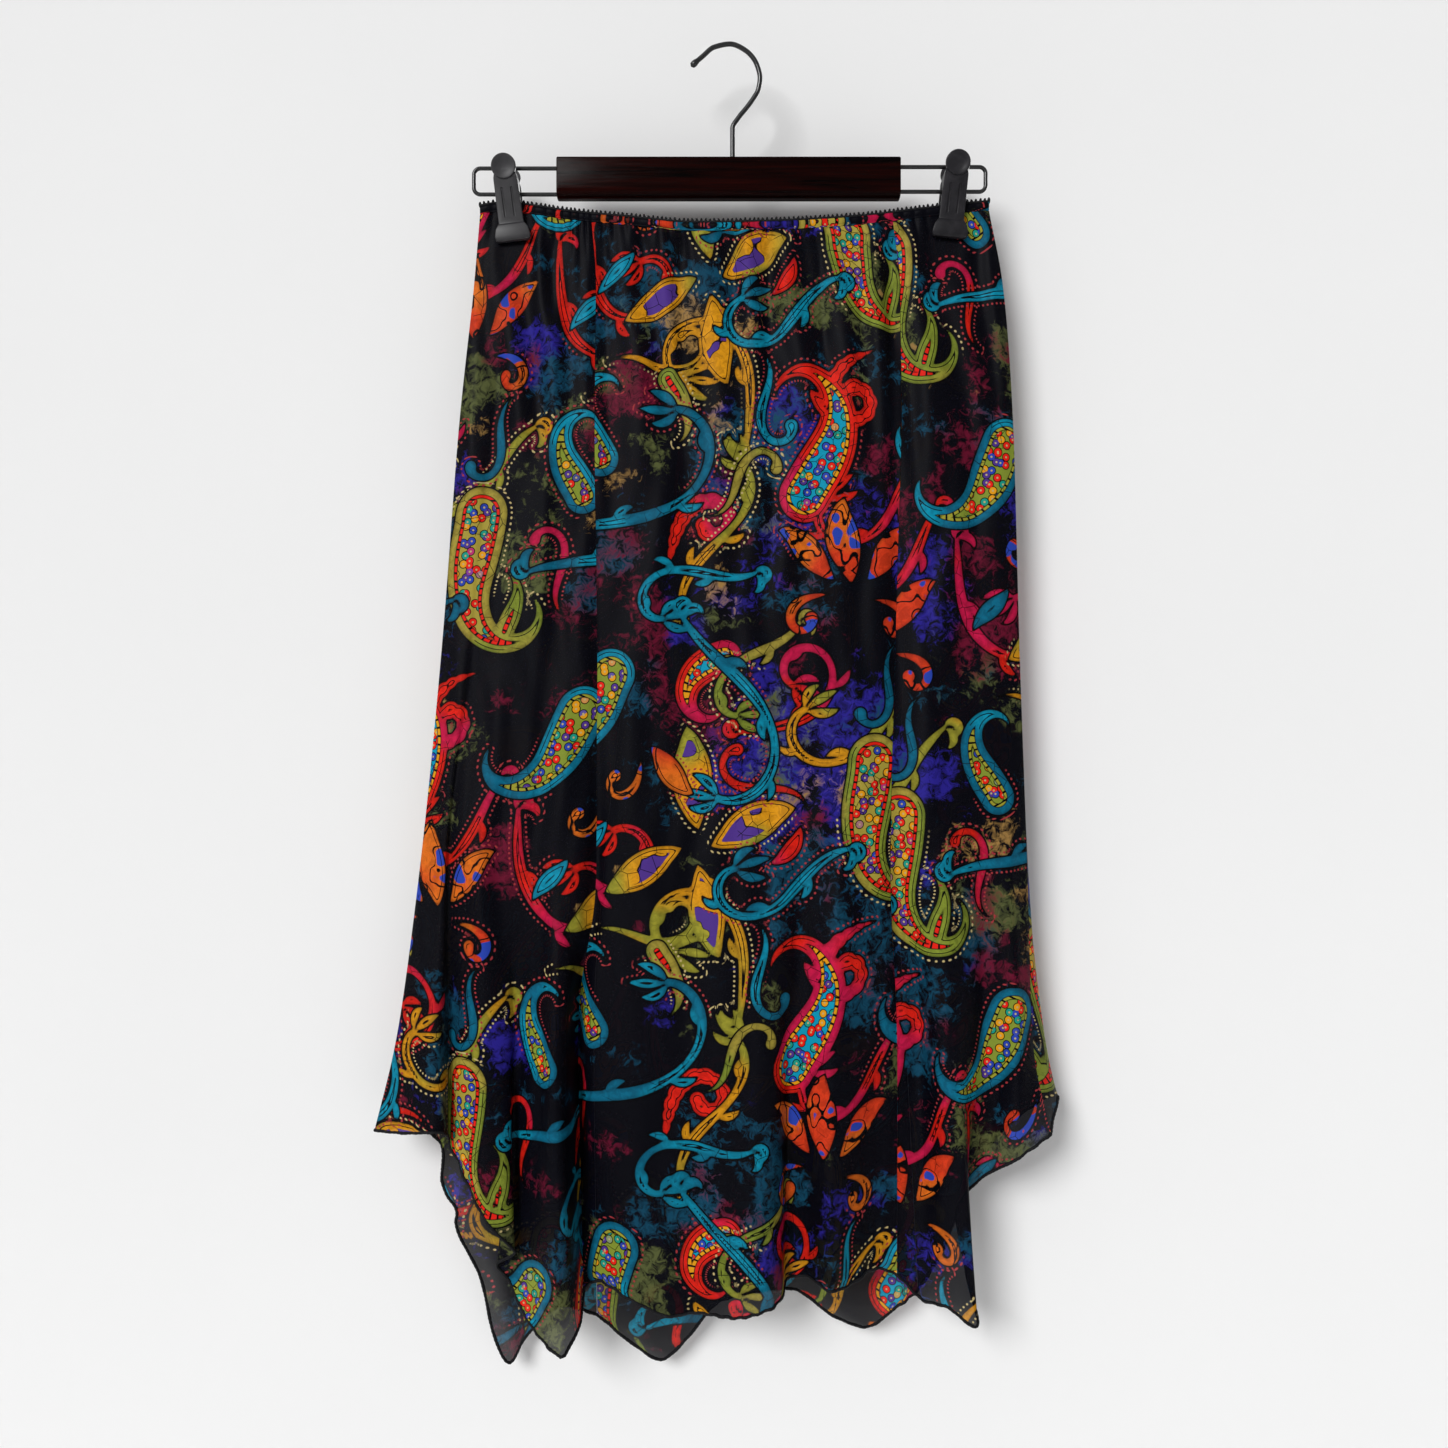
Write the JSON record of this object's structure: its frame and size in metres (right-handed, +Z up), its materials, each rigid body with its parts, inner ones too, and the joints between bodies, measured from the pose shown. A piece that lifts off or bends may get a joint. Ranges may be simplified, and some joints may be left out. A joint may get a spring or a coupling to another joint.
{
  "type": "handkerchief hem skirt on a clip hanger",
  "caption": "Pull-on skirt of printed georgette, narrow gathered elastic waist and pointed handkerchief hem, hung by its waist from a hanger with a wood bar, wire hook and sliding plastic clips",
  "frame": {"origin": "the underside of the top of the hanger's hook, on its centreline, where the hook rests on a rail or nail", "axes": "+Z up, away from the hem; the skirt's front faces -Y; +X to the right of someone who looks at the front"},
  "size_m": [0.4809, 0.0614, 0.9338],
  "materials": {
    "printed_georgette": "sheer georgette with a slight satin lustre, near-black ground printed with clouds of blue, teal, olive and maroon and with paisleys and scrolls in turquoise, red, gold, orange, pink and olive",
    "elastic_casing": "printed casing gathered over narrow elastic, with a black toothed lace edge",
    "dark_wood": "dark espresso stain under lacquer, lightly worn",
    "black_wire": "black lacquered steel wire",
    "black_plastic": "satin moulded plastic",
    "spring_steel": "plain spring steel"
  },
  "bodies": {
    "root": {"front_waistband": "elastic_casing", "back_waistband": "elastic_casing", "front_left_panel": "printed_georgette", "front_centre_panel": "printed_georgette", "front_right_panel": "printed_georgette", "back_left_panel": "printed_georgette", "back_centre_panel": "printed_georgette", "back_right_panel": "printed_georgette", "hanger_bar": "dark_wood", "hanger_hook": "black_wire", "wire_loop_left": "black_wire", "wire_loop_right": "black_wire", "clip_left_front_jaw": "black_plastic", "clip_left_back_jaw": "black_plastic", "clip_left_spring": "spring_steel", "clip_right_front_jaw": "black_plastic", "clip_right_back_jaw": "black_plastic", "clip_right_spring": "spring_steel"}
  },
  "joints": []
}
